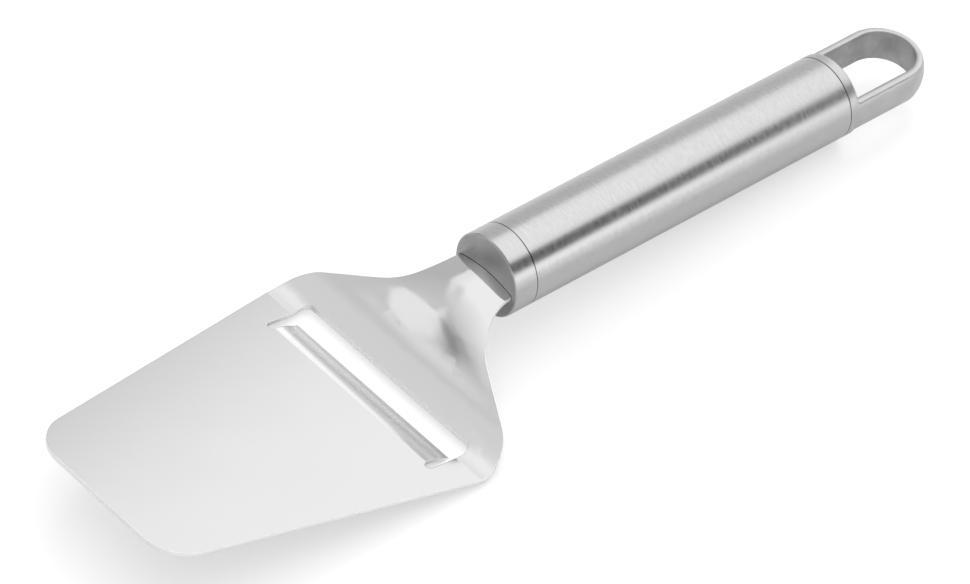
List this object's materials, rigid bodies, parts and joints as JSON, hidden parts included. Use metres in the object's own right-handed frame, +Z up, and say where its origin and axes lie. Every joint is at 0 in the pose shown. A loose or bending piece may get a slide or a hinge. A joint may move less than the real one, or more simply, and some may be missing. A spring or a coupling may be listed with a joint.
{
  "type": "cheese plane",
  "caption": "Hand-held cheese plane: tapered steel blade with a notched cutting slot and bent lip, arched neck, and a round tube handle with a hanging loop.",
  "frame": {"origin": "on the table, under the middle of the tool's length and width, as it lies on its cutting edge and the collar of its handle", "axes": "+X from the blade's tip towards the hanging loop, +Y across, +Z up from the table"},
  "size_m": [0.239, 0.071, 0.0264],
  "materials": {
    "polished_sheet": "polished stainless sheet",
    "satin_cap": "satin, turned",
    "brushed_tube": "brushed round the tube",
    "cast_loop": "fine satin outside, as cast inside the loop",
    "weld": "as welded"
  },
  "bodies": {
    "root": {"blade": "polished_sheet", "front_cap": "satin_cap", "handle_tube": "brushed_tube", "loop_cap": "cast_loop", "tang_weld": "weld"}
  },
  "joints": []
}
